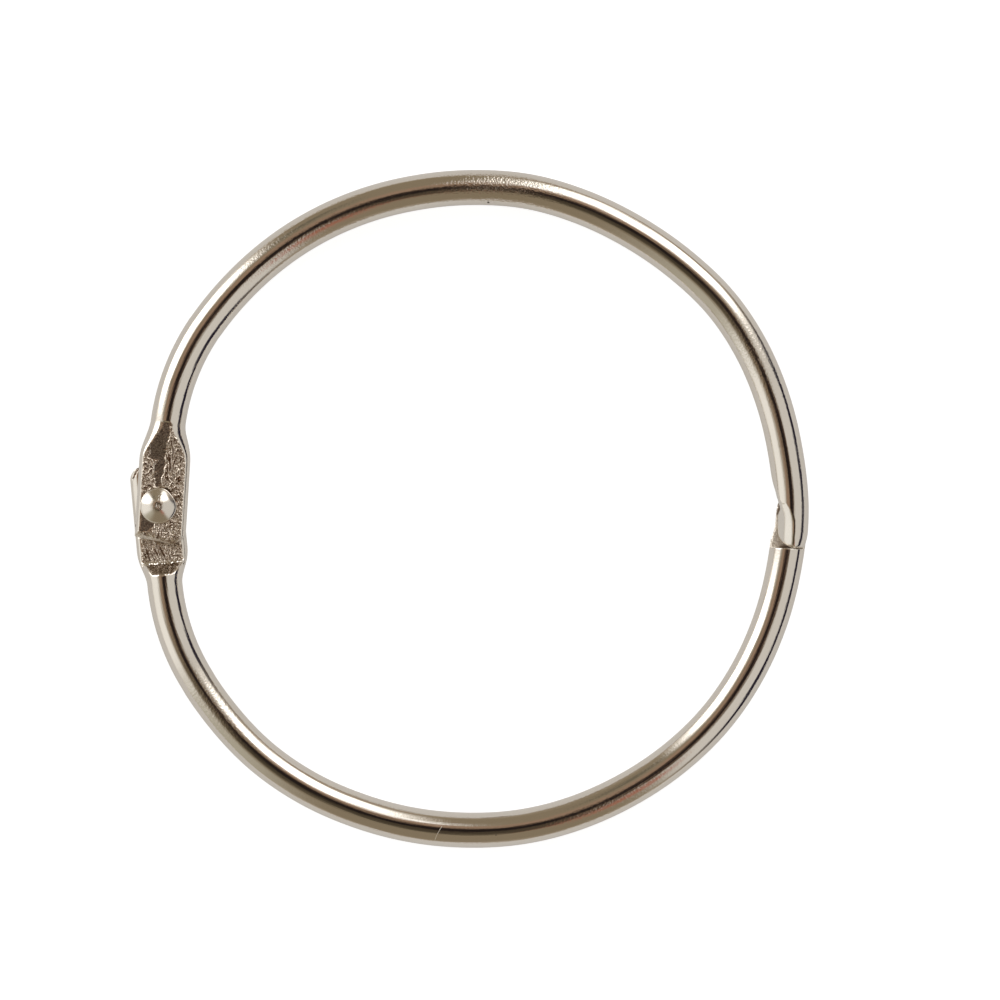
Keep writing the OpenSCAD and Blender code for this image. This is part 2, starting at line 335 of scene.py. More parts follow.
def seam(s, t):
    """The crack across the corner of the lower ear's sheared end, 1 in its middle."""
    a, b = np.array([-1.15, -3.5]), np.array([-1.87, -2.45])
    d = (b - a) / np.hypot(*(b - a))
    along = (s - a[0]) * d[0] + (t - a[1]) * d[1]
    off = (s - a[0]) * d[1] - (t - a[1]) * d[0]
    return np.exp(-(off / 0.07) ** 2) * ((along > -0.2) & (along < 1.35))


def dent_share(x, y):
    """How deeply the rivet's head dented the ear towards a place, 0 to 1: most at its upper right."""
    return np.clip(3 * np.cos(np.arctan2(y, x - RIVET_X) - math.radians(38)) - 1.6, 0, 1)


def wavering(half, x, y):
    """How far the wire's middle stands off its circle, in millimetres."""
    a = np.degrees(np.arctan2(y - half.centre[1], x - half.centre[0]))
    return 0.01 * smooth_through(half.waver, a)


def shear_line(half, s):
    """Where along the ear its slanted shear cut lies, for a place s across it."""
    side = half.shear_side
    c = np.array([side * (EAR_W / 2 + 0.02 - EAR_CORNER_R), EAR_CORNER_R - half.reach])
    start = c - EAR_CORNER_R * np.array([side * math.sin(SHEAR_SLANT), math.cos(SHEAR_SLANT)])
    line = start[1] + (start[0] - s) * side * math.tan(SHEAR_SLANT)
    off = np.clip(side * (s - c[0]), 0, EAR_CORNER_R - 0.003)
    off = np.where(side * (s - c[0]) > 0, off, np.abs(s - c[0]))
    corner = c[1] - np.sqrt(EAR_CORNER_R ** 2 - off ** 2)
    return np.where(side * (s - start[0]) > 0, corner, line)


def half_ring_stations(half):
    """Where the sections stand: (kind, place) with kind "end", "ear", "arc" or "clasp"."""
    ends = [("end", u) for u in 1 - np.linspace(0, 1, 34) ** 1.15]
    press = np.arange(EAR_ROOT + 0.07, SHOULDER_FOOT - 0.15, 0.07)
    shoulder = np.arange(press[-1] + 0.045, SHOULDER_FOOT + 1.3, 0.045)
    thin_out = np.arange(shoulder[-1] + 0.07, half.flat_from + 0.5, 0.07)
    loose = np.linspace(thin_out[-1] + 0.2, half.arc_start, 14)
    ears = [("ear", t) for t in np.concatenate([press, shoulder, thin_out, loose])]
    from_angle = math.pi - half.bend_end
    to_angle = half.lap_at + CLASP_REACH / RING_R
    arc = np.linspace(from_angle, to_angle, 150)[1:]
    arcs = [("arc", a) for a in arc]
    first = CLASP_REACH - 0.2
    clasp = np.concatenate([
        np.arange(first, ROOT_Y + 0.9, -0.1), np.arange(ROOT_Y + 0.87, ROOT_Y + 0.03, -0.05),
        [ROOT_Y + 0.02, ROOT_Y + 0.005, ROOT_Y - 0.005, ROOT_Y - 0.02],
        np.arange(ROOT_Y - 0.06, TIP_Y + 0.12, -0.055),
        [TIP_Y + 0.09, TIP_Y + 0.06, TIP_Y + 0.035, TIP_Y + 0.015, TIP_Y + 0.004]])
    return ends + ears + arcs + [("clasp", y) for y in clasp]


def half_ring_points(half):
    """The half ring's surface as a grid of points, one row to a section, and its finishes."""
    stations = half_ring_stations(half)
    n = len(stations)
    turn = np.linspace(0, 2 * math.pi, AROUND, endpoint=False) + math.pi / 2
    mid_s, mid_z, wide, tall = (np.zeros(n) for _ in range(4))
    for i, (kind, p) in enumerate(stations):
        if kind in ("end", "ear"):
            t = p if kind == "ear" else EAR_ROOT
            flat = float(fall_step(t, half.flat_from + 0.4, FLAT_TO))
            mid_z[i] = EAR_MID * flat
            wide[i], tall[i] = mix(1, EAR_W / 2, flat), mix(1, 0.85, flat)
        elif kind == "arc":
            wide[i] = tall[i] = 1
        else:
            lift = float(fall_step(p, ROOT_Y + 1.6, ROOT_Y + 0.1))
            tip = float(fall_step(p, TIP_Y + 1.5, TIP_Y))
            mid_s[i] = -mix(0.3 * lift, 0.85, tip)
            mid_z[i] = mix(0.55 * lift, 0.45, tip)
            wide[i] = tall[i] = 1
    ds, dz = wide[:, None] * np.cos(turn), tall[:, None] * np.sin(turn)
    size = np.hypot(ds, dz)
    ds, dz = ds / size, dz / size

    def place(r):
        s = mid_s[:, None] + r * ds
        z = mid_z[:, None] + r * dz
        x, y, t = np.empty_like(s), np.empty_like(s), np.empty_like(s)
        for i, (kind, p) in enumerate(stations):
            if kind == "end" or (kind == "ear" and p < half.straight):
                t[i] = p if kind == "ear" else EAR_ROOT + p * (shear_line(half, s[i]) - EAR_ROOT)
                x[i] = half.foot[0] + s[i] * half.across[0] + t[i] * half.along[0]
                y[i] = half.foot[1] + s[i] * half.across[1] + t[i] * half.along[1]
            elif kind == "ear":
                a = half.lean + (p - half.straight) / BEND_R
                t[i] = p
                x[i] = half.bend_centre[0] + (s[i] - BEND_R) * math.cos(a)
                y[i] = half.bend_centre[1] - (s[i] - BEND_R) * math.sin(a)
            elif kind == "arc":
                waver = 0.01 * smooth_through(half.waver, np.array(math.degrees(p)))
                t[i] = half.arc_start + 1
                x[i] = half.centre[0] + (RING_R + waver - s[i]) * math.cos(p)
                y[i] = half.centre[1] + (RING_R + waver - s[i]) * math.sin(p)
            else:
                # Level sections across the clasp, which turn square to the wire further up
                up = p - 0.1 * half.clasp_y[1]
                base = math.sqrt(RING_R ** 2 - up ** 2) - RING_R
                tilt = math.asin(up / RING_R) * float(smooth_step((p - 2.6) / 3.7))
                t[i] = half.arc_start + 1
                lx, ly = base - s[i] * math.cos(tilt), p - s[i] * math.sin(tilt)
                x[i] = half.clasp[0] + lx * half.clasp_x[0] + ly * half.clasp_y[0]
                y[i] = half.clasp[1] + lx * half.clasp_x[1] + ly * half.clasp_y[1]
        return s, t, x, y, z

    low, high = np.zeros_like(ds), np.full_like(ds, 3.4)
    for _ in range(34):
        r = (low + high) / 2
        s, t, x, y, z = place(r)
        out, finish = half_ring_cuts(half, t, s, x, y, z)
        low, high = np.where(out < 0, r, low), np.where(out < 0, high, r)
    r = (low + high) / 2
    # The last sections before the shear cut draw in, so that its edges are rounded over
    for i, (kind, p) in enumerate(stations):
        if kind == "end" and p > 0.955:
            k = (p - 0.955) / 0.045
            r[i] -= 0.06 * (1 - math.sqrt(1 - min(k, 0.999) ** 2))
    s, t, x, y, z = place(r)
    out, finish = half_ring_cuts(half, t, s, x, y, z)
    return stations, np.stack([x, y, z], -1), np.stack([s, t], -1), finish


# ---------------------------------------------------------------- rough, pressed metal

# How far a pressed place sinks as a whole, so that its lumps stay inside the plain surface,
# and how rough a sheared place is beside a pressed one
PRESS_SINK = 0.012
SHEARED_SHARE = 0.4


def grain(p, size, seed, octaves=3):
    """Fractal noise of about -1 to 1 with lumps of a given size in millimetres."""
    return noise.fractal(Vector((p[0] / size, p[1] / size, p[2] / size + seed)), 1.0, 2.1, octaves)


def share_in(places, s, t):
    """How far (s, t) is inside one of some ovals (s, t, half width, half length), 0 to 1."""
    k = min(math.hypot((s - a) / w, (t - b) / l) for a, b, w, l in places)
    return float(smooth_step((1.2 - k) / 0.45))


def press_marks(half, p, s, t):
    """(height in millimetres, calmness) of the roughness that the press leaves on a flat."""
    wander = 0.22 * grain((s, t, 0), 0.5, half.seed + 40, 2)
    calm = share_in(half.calm, s + wander, t)
    drawn = share_in(half.drawn, s + wander, t)
    place = (s, t, p[2])
    lumps = 0.064 * grain(place, 0.17, half.seed, 2) + 0.028 * grain(place, 0.1, half.seed + 7, 1)
    ridges = 0.5 - abs(grain((s - half.drag * t, t * 0.15, 0), 0.24, half.seed + 20, 2)) * 2.6
    fine = 0.006 * grain((s, t * 0.7, p[2]), 0.12, half.seed + 60, 2)
    height = mix(lumps, 0.055 * max(ridges, -0.6) + 0.2 * lumps, drawn)
    return fine + height * (1 - 0.93 * calm * (1 - 0.6 * drawn)), calm * (1 - drawn)


def roughen(half, points, local, finish):
    """Pushes the pressed and sheared places in and out along the surface's own normal, and gives each point
    its painted shade and how calm its press marks are.
    """
    d_along = np.gradient(points, axis=0)
    d_round = (np.roll(points, -1, 1) - np.roll(points, 1, 1)) / 2
    normal = np.cross(d_round, d_along)
    normal /= np.maximum(np.linalg.norm(normal, axis=-1, keepdims=True), 1e-9)
    rough = (finish == STAMPED) | (finish == SHEARED)
    # The roughness fades out over two points at the edge of a pressed place
    soft = rough.astype(float)
    for _ in range(2):
        before, after = np.roll(soft, 1, 1), np.roll(soft, -1, 1)
        soft = np.minimum.reduce([soft, (before + soft) / 2, (after + soft) / 2])
    moved = points.copy()
    # depth is how much painted shade a point gets, 0 to 1
    depth, calmness = np.zeros(soft.shape), np.ones(soft.shape)
    # On the tongue's mating face, the corner at its root and the stretch towards its tip lie against the
    # other tongue and get painted shade
    up_tongue = (points[..., :2] - half.clasp) @ half.clasp_y
    in_tongue = (points[..., :2] - half.clasp) @ half.clasp_x
    corner = (1 - np.abs(ROOT_Y - 0.1 - up_tongue) / 0.75) * np.exp(-((in_tongue + 0.35) / 0.7) ** 2)
    crevice_shade = np.maximum(corner, 0.9 * smooth_step((-0.45 - up_tongue) / 0.35))
    crevice_shade = crevice_shade * (points[..., 2] < 0.1)
    # The ring that the rivet's head dented smooths the press marks there and gets painted shadow, most at its
    # upper right
    from_rivet = np.hypot(points[..., 0] - RIVET_X, points[..., 1])
    dented = dent_share(points[..., 0], points[..., 1]) * half.is_upper
    dented = dented * np.exp(-((from_rivet - 1.5) / 0.13) ** 2)
    # The crack across the lower ear's sheared end gets painted shade
    in_seam = seam(local[..., 0], local[..., 1]) > 0.3
    crack_shade = (local[..., 1] < EAR_ROOT) * in_seam * (not half.is_upper)
    for i, j in np.argwhere(soft > 0.05):
        if points[i, j, 0] > 0:
            fine = grain(points[i, j], 0.17, half.seed, 2) - 1
            moved[i, j] += normal[i, j] * PRESS_SINK * fine * soft[i, j]
            # Painted shade in the clasp's crevices
            depth[i, j] = crevice_shade[i, j]
            continue
        h, calm = press_marks(half, points[i, j], local[i, j, 0], points[i, j, 1] - half.foot[1])
        share = SHEARED_SHARE if finish[i, j] == SHEARED else 1
        h *= (1 - 0.8 * dented[i, j]) * share
        moved[i, j] += normal[i, j] * (h - PRESS_SINK) * soft[i, j]
        # Painted shade in the low places of the press marks
        depth[i, j] = np.clip(0.5 - h / 0.07, 0, 1) * soft[i, j] * share
        # The rough ramp of the shoulder gets deep painted shade
        if local[i, j, 1] > SHOULDER_FOOT + 0.1 and points[i, j, 2] < 0:
            depth[i, j] = max(depth[i, j], 0.72)
        depth[i, j] = max(depth[i, j], dented[i, j], crack_shade[i, j])
        calmness[i, j] = calm
    return moved, depth, calmness


# ---------------------------------------------------------------- meshes

def make_mesh(name, verts, faces, finishes, materials, marks=None):
    """A mesh in metres; marks are values at its points, by name, that the materials read."""
    mesh = bpy.data.meshes.new(name)
    mesh.from_pydata([tuple(v * MM) for v in verts], [], faces)
    for material in materials:
        mesh.materials.append(material)
    mesh.polygons.foreach_set("material_index", finishes)
    mesh.polygons.foreach_set("use_smooth", [True] * len(faces))
    for label, values in (marks or {}).items():
        mesh.attributes.new(label, "FLOAT", "POINT").data.foreach_set("value", values)
    mesh.update()
    obj = bpy.data.objects.new(name, mesh)
    bpy.context.scene.collection.objects.link(obj)
    return obj


def add_cap(verts, faces, finishes, rim, middle, loops, finish, flip):
    """Closes an open end with loops that draw in from the rim to the middle line."""
    n = len(rim)
    before = list(rim)
    for k in range(1, loops + 1):
        w = k / loops
        start = len(verts)
        for j in range(n):
            verts.append(mix(verts[rim[j]], middle[j], w))
        ring = list(range(start, start + n))
        for j in range(n):
            quad = (before[j], before[(j + 1) % n], ring[(j + 1) % n], ring[j])
            faces.append(quad[::-1] if flip else quad)
            finishes.append(finish)
        before = ring


def half_ring(half, name, materials, turned):
    """One half ring as a mesh, turned over if its ear lies behind."""
    stations, points, local, finish = half_ring_points(half)
    points, depth, calmness = roughen(half, points, local, finish)
    n = AROUND
    verts = [v for row in points for v in row]
    faces, finishes = [], []
    for i in range(len(stations) - 1):
        for j in range(n):
            k = (j + 1) % n
            faces.append(((i + 1) * n + j, (i + 1) * n + k, i * n + k, i * n + j))
            kinds = sorted([finish[i, j], finish[i, k], finish[i + 1, k], finish[i + 1, j]])
            finishes.append(int(kinds[1]))
    # The sheared end of the ear: each point's partner is at mid thickness, straight across
    rim = list(range(n))
    middle = [np.array([verts[j][0], verts[j][1], EAR_MID]) for j in rim]
    add_cap(verts, faces, finishes, rim, middle, 5, SHEARED, False)
    # The tongue's tip
    last = (len(stations) - 1) * n
    rim = list(range(last, last + n))
    centre = np.mean([verts[j] for j in rim], axis=0)
    add_cap(verts, faces, finishes, rim, [centre] * n, 8, FILED, True)
    if turned:
        verts = [np.array([v[0], -v[1], -v[2]]) for v in verts]
    # The marks hold each point's painted shade and how calm its press marks are; the caps get levels that
    # paint no shade
    caps = np.full(len(verts) - depth.size, 0.3)
    marks = {"painted_shade_mark": np.concatenate([depth.ravel(), caps]),
             "pressed_calm": np.concatenate([calmness.ravel(), caps])}
    return make_mesh(name, verts, faces, finishes, materials, marks)


def front_head_profile(foot):
    """(radius, height) points of the worn front head, a dome that is nearly a cone, from rim to middle."""
    shoulder = HEAD_R - 0.06
    radii = np.linspace(shoulder, 0, 71)
    slope = np.radians(6 + 22 * radii + 12 * np.clip((radii - 1.3) / 0.16, 0, 1) ** 2)
    slope = np.tan(slope) * smooth_step((radii - 0.16) / 0.22)
    step = radii[0] - radii[1]
    rise = np.concatenate([[0], np.cumsum((slope[1:] + slope[:-1]) / 2 * step)])
    rim = HEAD_H - rise[-1]
    out = [(HEAD_R - 0.01, foot)]
    out += [(shoulder + 0.06 * math.cos(a), foot + rim * (0.15 + 0.85 * math.sin(a)))
            for a in np.linspace(0, 1.45, 9)]
    heights = foot + rim + rise - DIMPLE_DEPTH * np.exp(-(radii / (DIMPLE_R * 0.6)) ** 2)
    return out + list(zip(radii, heights))


def tail_head_profile(foot, steps):
    """(radius, height) points of the plain domed head at the back, from rim to middle."""
    ball_r = (HEAD_R ** 2 + TAIL_H ** 2) / (2 * TAIL_H)
    edge = math.asin(HEAD_R / ball_r)
    out = [(HEAD_R - 0.02, foot)]
    for i in range(steps + 1):
        a = edge * (1 - i / steps)
        out.append((ball_r * math.sin(a), foot + max(TAIL_H - ball_r + ball_r * math.cos(a), 0.012)))
    return out


def hinge_rivet(materials):
    """The rivet as one turned surface, from the middle of its back head to that of its front head."""
    front = EAR_TOP + FACE_GAP
    profile = [(SHANK_R, 0.0), (SHANK_R, front - 0.01)] + front_head_profile(front)
    back = tail_head_profile(EAR_TOP, 40)
    profile = [(r, -h) for r, h in back][::-1] + [(SHANK_R, -EAR_TOP)] + profile
    around = 160
    verts, faces, finishes = [], [], []
    for r, h in profile:
        for j in range(around):
            a = 2 * math.pi * j / around
            wobble = 1 + 0.006 * math.sin(a * 2 + 0.7) * min(1, r)
            if h > 0:
                # The front head is a little flat towards the dent it made
                flattened = 0.075 * math.exp(-((a - math.radians(36)) / 0.45) ** 2)
                wobble -= flattened * float(smooth_step((r - 0.9) / 0.5))
            x, y = r * wobble * math.cos(a), r * wobble * math.sin(a)
            if h > front + 0.1:
                # Hammer marks round the dimple and on the far side of the dome
                worn = 2.2 * math.exp(-(r / 0.3) ** 2)
                worn += 1.3 * math.exp(-((x + 0.05) / 0.3) ** 2 - ((y - 0.95) / 0.45) ** 2)
                h_worn = h - worn * WORN_DEPTH * (1 + grain((x, y, 0), 0.13, 5, 2))
                verts.append(np.array([RIVET_X + x, y, h_worn]))
            else:
                verts.append(np.array([RIVET_X + x, y, h]))
    for i in range(len(profile) - 1):
        for j in range(around):
            k = (j + 1) % around
            faces.append((i * around + j, i * around + k, (i + 1) * around + k, (i + 1) * around + j))
            finishes.append(0)
    return make_mesh("domed_rivet", verts, faces, finishes, materials)


# ---------------------------------------------------------------- materials

def node_group(name, inputs, outputs):
    group = bpy.data.node_groups.new(name, "ShaderNodeTree")
    for label, value in inputs:
        socket = group.interface.new_socket(label, in_out="INPUT", socket_type="NodeSocketFloat")
        socket.default_value = value
    for label, kind in outputs:
        group.interface.new_socket(label, in_out="OUTPUT", socket_type=kind)
    tree = group.nodes
    return group, tree.new("NodeGroupInput"), tree.new("NodeGroupOutput")


def link(tree, a, b):
    tree.links.new(a, b)


def math_node(tree, operation, a, b=None, clamp=False):
    node = tree.nodes.new("ShaderNodeMath")
    node.operation = operation
    node.use_clamp = clamp
    for i, v in enumerate((a, b)):
        if v is None:
            continue
        if isinstance(v, (int, float)):
            node.inputs[i].default_value = v
        else:
            link(tree, v, node.inputs[i])
    return node.outputs[0]


def noise_node(tree, vector, scale, detail=2.0, rough=0.5):
    node = tree.nodes.new("ShaderNodeTexNoise")
    node.inputs["Scale"].default_value = scale
    node.inputs["Detail"].default_value = detail
    node.inputs["Roughness"].default_value = rough
    link(tree, vector, node.inputs["Vector"])
    return node.outputs["Fac"]


def plating_skin_group():
    """Pits and the slight waviness of bright plating over drawn wire."""
    group, inp, out = node_group(
        "plating_skin",
        [("Pit Depth", 1.0), ("Waviness", 1.0), ("Draw Lines", 1.0)],
        [("Height", "NodeSocketFloat"), ("Haze", "NodeSocketFloat")])
    place = group.nodes.new("ShaderNodeTexCoord").outputs["Object"]
    split = group.nodes.new("ShaderNodeSeparateXYZ")
    link(group, place, split.inputs[0])
    x, y, z = split.outputs
    # The plating is grainy all over, and more so in a few stretches of the ring
    pits = noise_node(group, place, 5600, 2, 0.6)
    around = math_node(group, "ARCTAN2", y, x)
    where = None
    for middle, reach, share in GRAINY:
        off = math_node(group, "ABSOLUTE", math_node(group, "SUBTRACT", around, math.radians(middle)))
        near = math_node(group, "DIVIDE", off, math.radians(reach))
        near = math_node(group, "SUBTRACT", 1.0, near, True)
        near = math_node(group, "MULTIPLY", near, share)
        where = near if where is None else math_node(group, "MAXIMUM", where, near)
    where = math_node(group, "ADD", where, 0.09)
    waves = noise_node(group, place, 420, 2, 0.4)
    pitted = math_node(group, "MULTIPLY", pits, inp.outputs["Pit Depth"])
    pitted = math_node(group, "MULTIPLY", pitted, where)
    pitted = math_node(group, "MULTIPLY", pitted, 6.0)
    wavy = math_node(group, "MULTIPLY", waves, inp.outputs["Waviness"])
    # Fine lines that the drawing die left along the wire
    out_from_middle = math_node(group, "SQRT", math_node(
        group, "ADD", math_node(group, "MULTIPLY", x, x), math_node(group, "MULTIPLY", y, y)))
    join = group.nodes.new("ShaderNodeCombineXYZ")
    link(group, out_from_middle, join.inputs["X"])
    link(group, z, join.inputs["Y"])
    link(group, math_node(
        group, "MULTIPLY", math_node(group, "ABSOLUTE", around), 0.0007), join.inputs["Z"])
    lines = noise_node(group, join.outputs[0], 4300, 2, 0.6)
    lines = math_node(group, "MULTIPLY", lines, inp.outputs["Draw Lines"])
    height = math_node(group, "ADD", pitted, wavy)
    height = math_node(group, "ADD", height, math_node(group, "MULTIPLY", lines, 0.9))
    link(group, height, out.inputs["Height"])
    link(group, where, out.inputs["Haze"])
    return group


def plating_flaws_group():
    """Specks where the plating blistered, and one fine scratch across the lower wire."""
    group, inp, out = node_group(
        "plating_flaws", [("Size", 1.0)], [("Specks", "NodeSocketFloat"), ("Scratch", "NodeSocketFloat")])
    place = group.nodes.new("ShaderNodeTexCoord").outputs["Object"]
    specks = None
    for x, y, z, radius in SPECKS:
        away = group.nodes.new("ShaderNodeVectorMath")
        away.operation = "DISTANCE"
        link(group, place, away.inputs[0])
        away.inputs[1].default_value = (x * MM, y * MM, z * MM)
        far = math_node(group, "DIVIDE", away.outputs["Value"], radius * MM)
        spot = math_node(group, "MULTIPLY", math_node(group, "SUBTRACT", inp.outputs["Size"], far), 2.5, True)
        specks = spot if specks is None else math_node(group, "MAXIMUM", specks, spot)
    link(group, specks, out.inputs["Specks"])
    split = group.nodes.new("ShaderNodeSeparateXYZ")
    link(group, place, split.inputs[0])
    x, y, length, bow, lean = SCRATCH
    along = math_node(group, "SUBTRACT", split.outputs["Y"], y * MM)
    along = math_node(group, "DIVIDE", along, length * MM)
    bowed = math_node(group, "MULTIPLY", math_node(group, "MULTIPLY", along, along), bow * MM)
    bowed = math_node(group, "ADD", bowed, math_node(group, "MULTIPLY", along, lean * length * MM))
    off = math_node(group, "SUBTRACT", math_node(group, "SUBTRACT", split.outputs["X"], x * MM), bowed)
    thin = math_node(group, "DIVIDE", math_node(group, "ABSOLUTE", off), SCRATCH_W * MM)
    thin = math_node(group, "SUBTRACT", 1.0, thin, True)
    short = math_node(group, "SUBTRACT", 1.0, math_node(group, "ABSOLUTE", along))
    short = math_node(group, "MULTIPLY", short, 6.0, True)
    front = math_node(group, "GREATER_THAN", split.outputs["Z"], 0.0)
    scratch = math_node(group, "MULTIPLY", math_node(group, "MULTIPLY", thin, short), front)
    link(group, scratch, out.inputs["Scratch"])
    return group


def stamped_skin_group():
    """Fine grain of metal that was pressed rough before it was plated, with painted shade in the hollows of
    the grain as its second output.
    """
    group, inp, out = node_group(
        "stamped_skin",
        [("Grain", 1.0)],
        [("Height", "NodeSocketFloat"), ("Painted Shade", "NodeSocketFloat")])
    place = group.nodes.new("ShaderNodeTexCoord").outputs["Object"]
    fine = noise_node(group, place, 12000, 2, 0.5)
    coarse = noise_node(group, place, 6800, 1, 0.5)
    height = math_node(group, "ADD", math_node(group, "MULTIPLY", fine, 0.5), coarse)
    link(group, math_node(group, "MULTIPLY", height, inp.outputs["Grain"]), out.inputs["Height"])
    # Painted shade where the coarse lumps are low, in the grain's hollows
    painted_shade = math_node(group, "MULTIPLY", math_node(group, "SUBTRACT", 0.62, coarse), 3.0, True)
    link(group, painted_shade, out.inputs["Painted Shade"])
    return group


def metal(name, tint, roughness):
    material = bpy.data.materials.new(name)
    material.use_nodes = True
    tree = material.node_tree
    shader = tree.nodes["Principled BSDF"]
    shader.inputs["Metallic"].default_value = 1.0
    shader.inputs["Base Color"].default_value = (*tint, 1)
    shader.inputs["Roughness"].default_value = roughness
    return material, tree, shader


def put_group(tree, group, **values):
    node = tree.nodes.new("ShaderNodeGroup")
    node.node_tree = group
    for label, value in values.items():
        node.inputs[label.replace("_", " ")].default_value = value
    return node


def bump(tree, shader, height, strength, distance):
    node = tree.nodes.new("ShaderNodeBump")
    node.inputs["Strength"].default_value = strength
    node.inputs["Distance"].default_value = distance
    link(tree, height, node.inputs["Height"])
    link(tree, node.outputs["Normal"], shader.inputs["Normal"])


def mix_colour(tree, factor, a, b):
    node = tree.nodes.new("ShaderNodeMix")
    node.data_type = "RGBA"
    link(tree, factor, node.inputs["Factor"])
    if isinstance(a, tuple):
        node.inputs["A"].default_value = (*a, 1)
    else:
        link(tree, a, node.inputs["A"])
    node.inputs["B"].default_value = (*b, 1)
    return node.outputs["Result"]


def bright_nickel(plating, name, roughness=0.09, pit=0.6, lines=1.0, flaws=None):
    material, tree, shader = metal(name, (0.72, 0.665, 0.59), roughness)
    skin = put_group(tree, plating, Pit_Depth=pit, Waviness=1.0, Draw_Lines=lines)
    bump(tree, shader, skin.outputs["Height"], 1.0, 0.000012)
    colour = mix_colour(tree, skin.outputs["Haze"], (0.74, 0.685, 0.61), (0.70, 0.64, 0.56))
    if flaws:
        flaw = put_group(tree, flaws)
        colour = mix_colour(tree, flaw.outputs["Specks"], colour, (0.05, 0.035, 0.025))
        colour = mix_colour(tree, flaw.outputs["Scratch"], colour, (0.95, 0.92, 0.84))
        worn = math_node(tree, "MAXIMUM", flaw.outputs["Specks"], flaw.outputs["Scratch"])
        link(tree, math_node(tree, "ADD", math_node(tree, "MULTIPLY", worn, 0.5), roughness),
             shader.inputs["Roughness"])
    link(tree, colour, shader.inputs["Base Color"])
    return material


def mark(tree, label):
    node = tree.nodes.new("ShaderNodeAttribute")
    node.attribute_name = label
    return node.outputs["Fac"]


def stamped_nickel(stamped):
    material, tree, shader = metal("stamped_nickel", (0.62, 0.55, 0.46), 0.22)
    skin = put_group(tree, stamped, Grain=1.0)
    calm = mark(tree, "pressed_calm")
    lively = math_node(tree, "SUBTRACT", 1.15, calm)
    bump(tree, shader, math_node(tree, "MULTIPLY", skin.outputs["Height"], lively), 1.0, 0.00005)
    # The dark colour is painted shade: in the hollows of the press marks and of the grain, in the clasp's
    # crevices, on the shoulder's ramp, round the rivet and in the crack
    pits = math_node(tree, "SUBTRACT", mark(tree, "painted_shade_mark"), 0.5)
    pits = math_node(tree, "MULTIPLY", pits, 2.6, True)
    painted_shade = math_node(tree, "MAXIMUM", pits, math_node(tree, "MULTIPLY", skin.outputs["Painted Shade"], 0.8))
    link(tree, mix_colour(tree, painted_shade, (0.81, 0.72, 0.61), (0.14, 0.085, 0.052)),
         shader.inputs["Base Color"])
    duller = math_node(tree, "ADD", math_node(tree, "MULTIPLY", calm, 0.17), 0.075)
    link(tree, duller, shader.inputs["Roughness"])
    return material


def sheared_nickel(stamped):
    material, tree, shader = metal("sheared_nickel", (0.76, 0.69, 0.60), 0.38)
    skin = put_group(tree, stamped, Grain=1.0)
    bump(tree, shader, skin.outputs["Height"], 1.0, 0.00005)
    # The dark colour is painted shade: in the clasp's crevices and the crack, in low places of the press
    # marks, and in the grain's hollows
    deep_shade = math_node(tree, "SUBTRACT", mark(tree, "painted_shade_mark"), 0.35)
    deep_shade = math_node(tree, "MULTIPLY", deep_shade, 1.6, True)
    painted_shade = math_node(tree, "MAXIMUM", deep_shade, math_node(tree, "MULTIPLY", skin.outputs["Painted Shade"], 0.45))
    link(tree, mix_colour(tree, painted_shade, (0.93, 0.87, 0.78), (0.17, 0.115, 0.075)),
         shader.inputs["Base Color"])
    return material


def filed_nickel(stamped):
    material, tree, shader = metal("filed_nickel", (0.74, 0.69, 0.62), 0.2)
    skin = put_group(tree, stamped, Grain=0.25)
    bump(tree, shader, skin.outputs["Height"], 0.5, 0.00002)
    return material


# ---------------------------------------------------------------- studio

def studio_panel_group():
    """A soft-edged lit panel in the sky, given by compass angle and angle from overhead."""
    group, inp, out = node_group(
        "studio_panel",
        [("Bearing", 0.0), ("Compass Middle", 0.0), ("Compass Reach", 20.0), ("Compass Soft", 5.0),
         ("Fall", 0.0), ("Fall Middle", 45.0), ("Fall Reach", 20.0), ("Fall Soft", 5.0)],
        [("Mask", "NodeSocketFloat")])

    def edge(value, middle, reach, soft, wraps):
        off = math_node(group, "SUBTRACT", value, middle)
        if wraps:
            off = math_node(group, "WRAP", off, 180.0)
            off.node.inputs[2].default_value = -180.0
        off = math_node(group, "ABSOLUTE", off)
        node = group.nodes.new("ShaderNodeMapRange")
        node.interpolation_type = "SMOOTHSTEP"
        link(group, off, node.inputs["Value"])
        link(group, math_node(group, "ADD", reach, soft), node.inputs["From Min"])
        link(group, math_node(group, "SUBTRACT", reach, soft), node.inputs["From Max"])
        return node.outputs["Result"]

    i = inp.outputs
    across = edge(i["Bearing"], i["Compass Middle"], i["Compass Reach"], i["Compass Soft"], True)
    down = edge(i["Fall"], i["Fall Middle"], i["Fall Reach"], i["Fall Soft"], False)
    link(group, math_node(group, "MULTIPLY", across, down), out.inputs["Mask"])
    return group


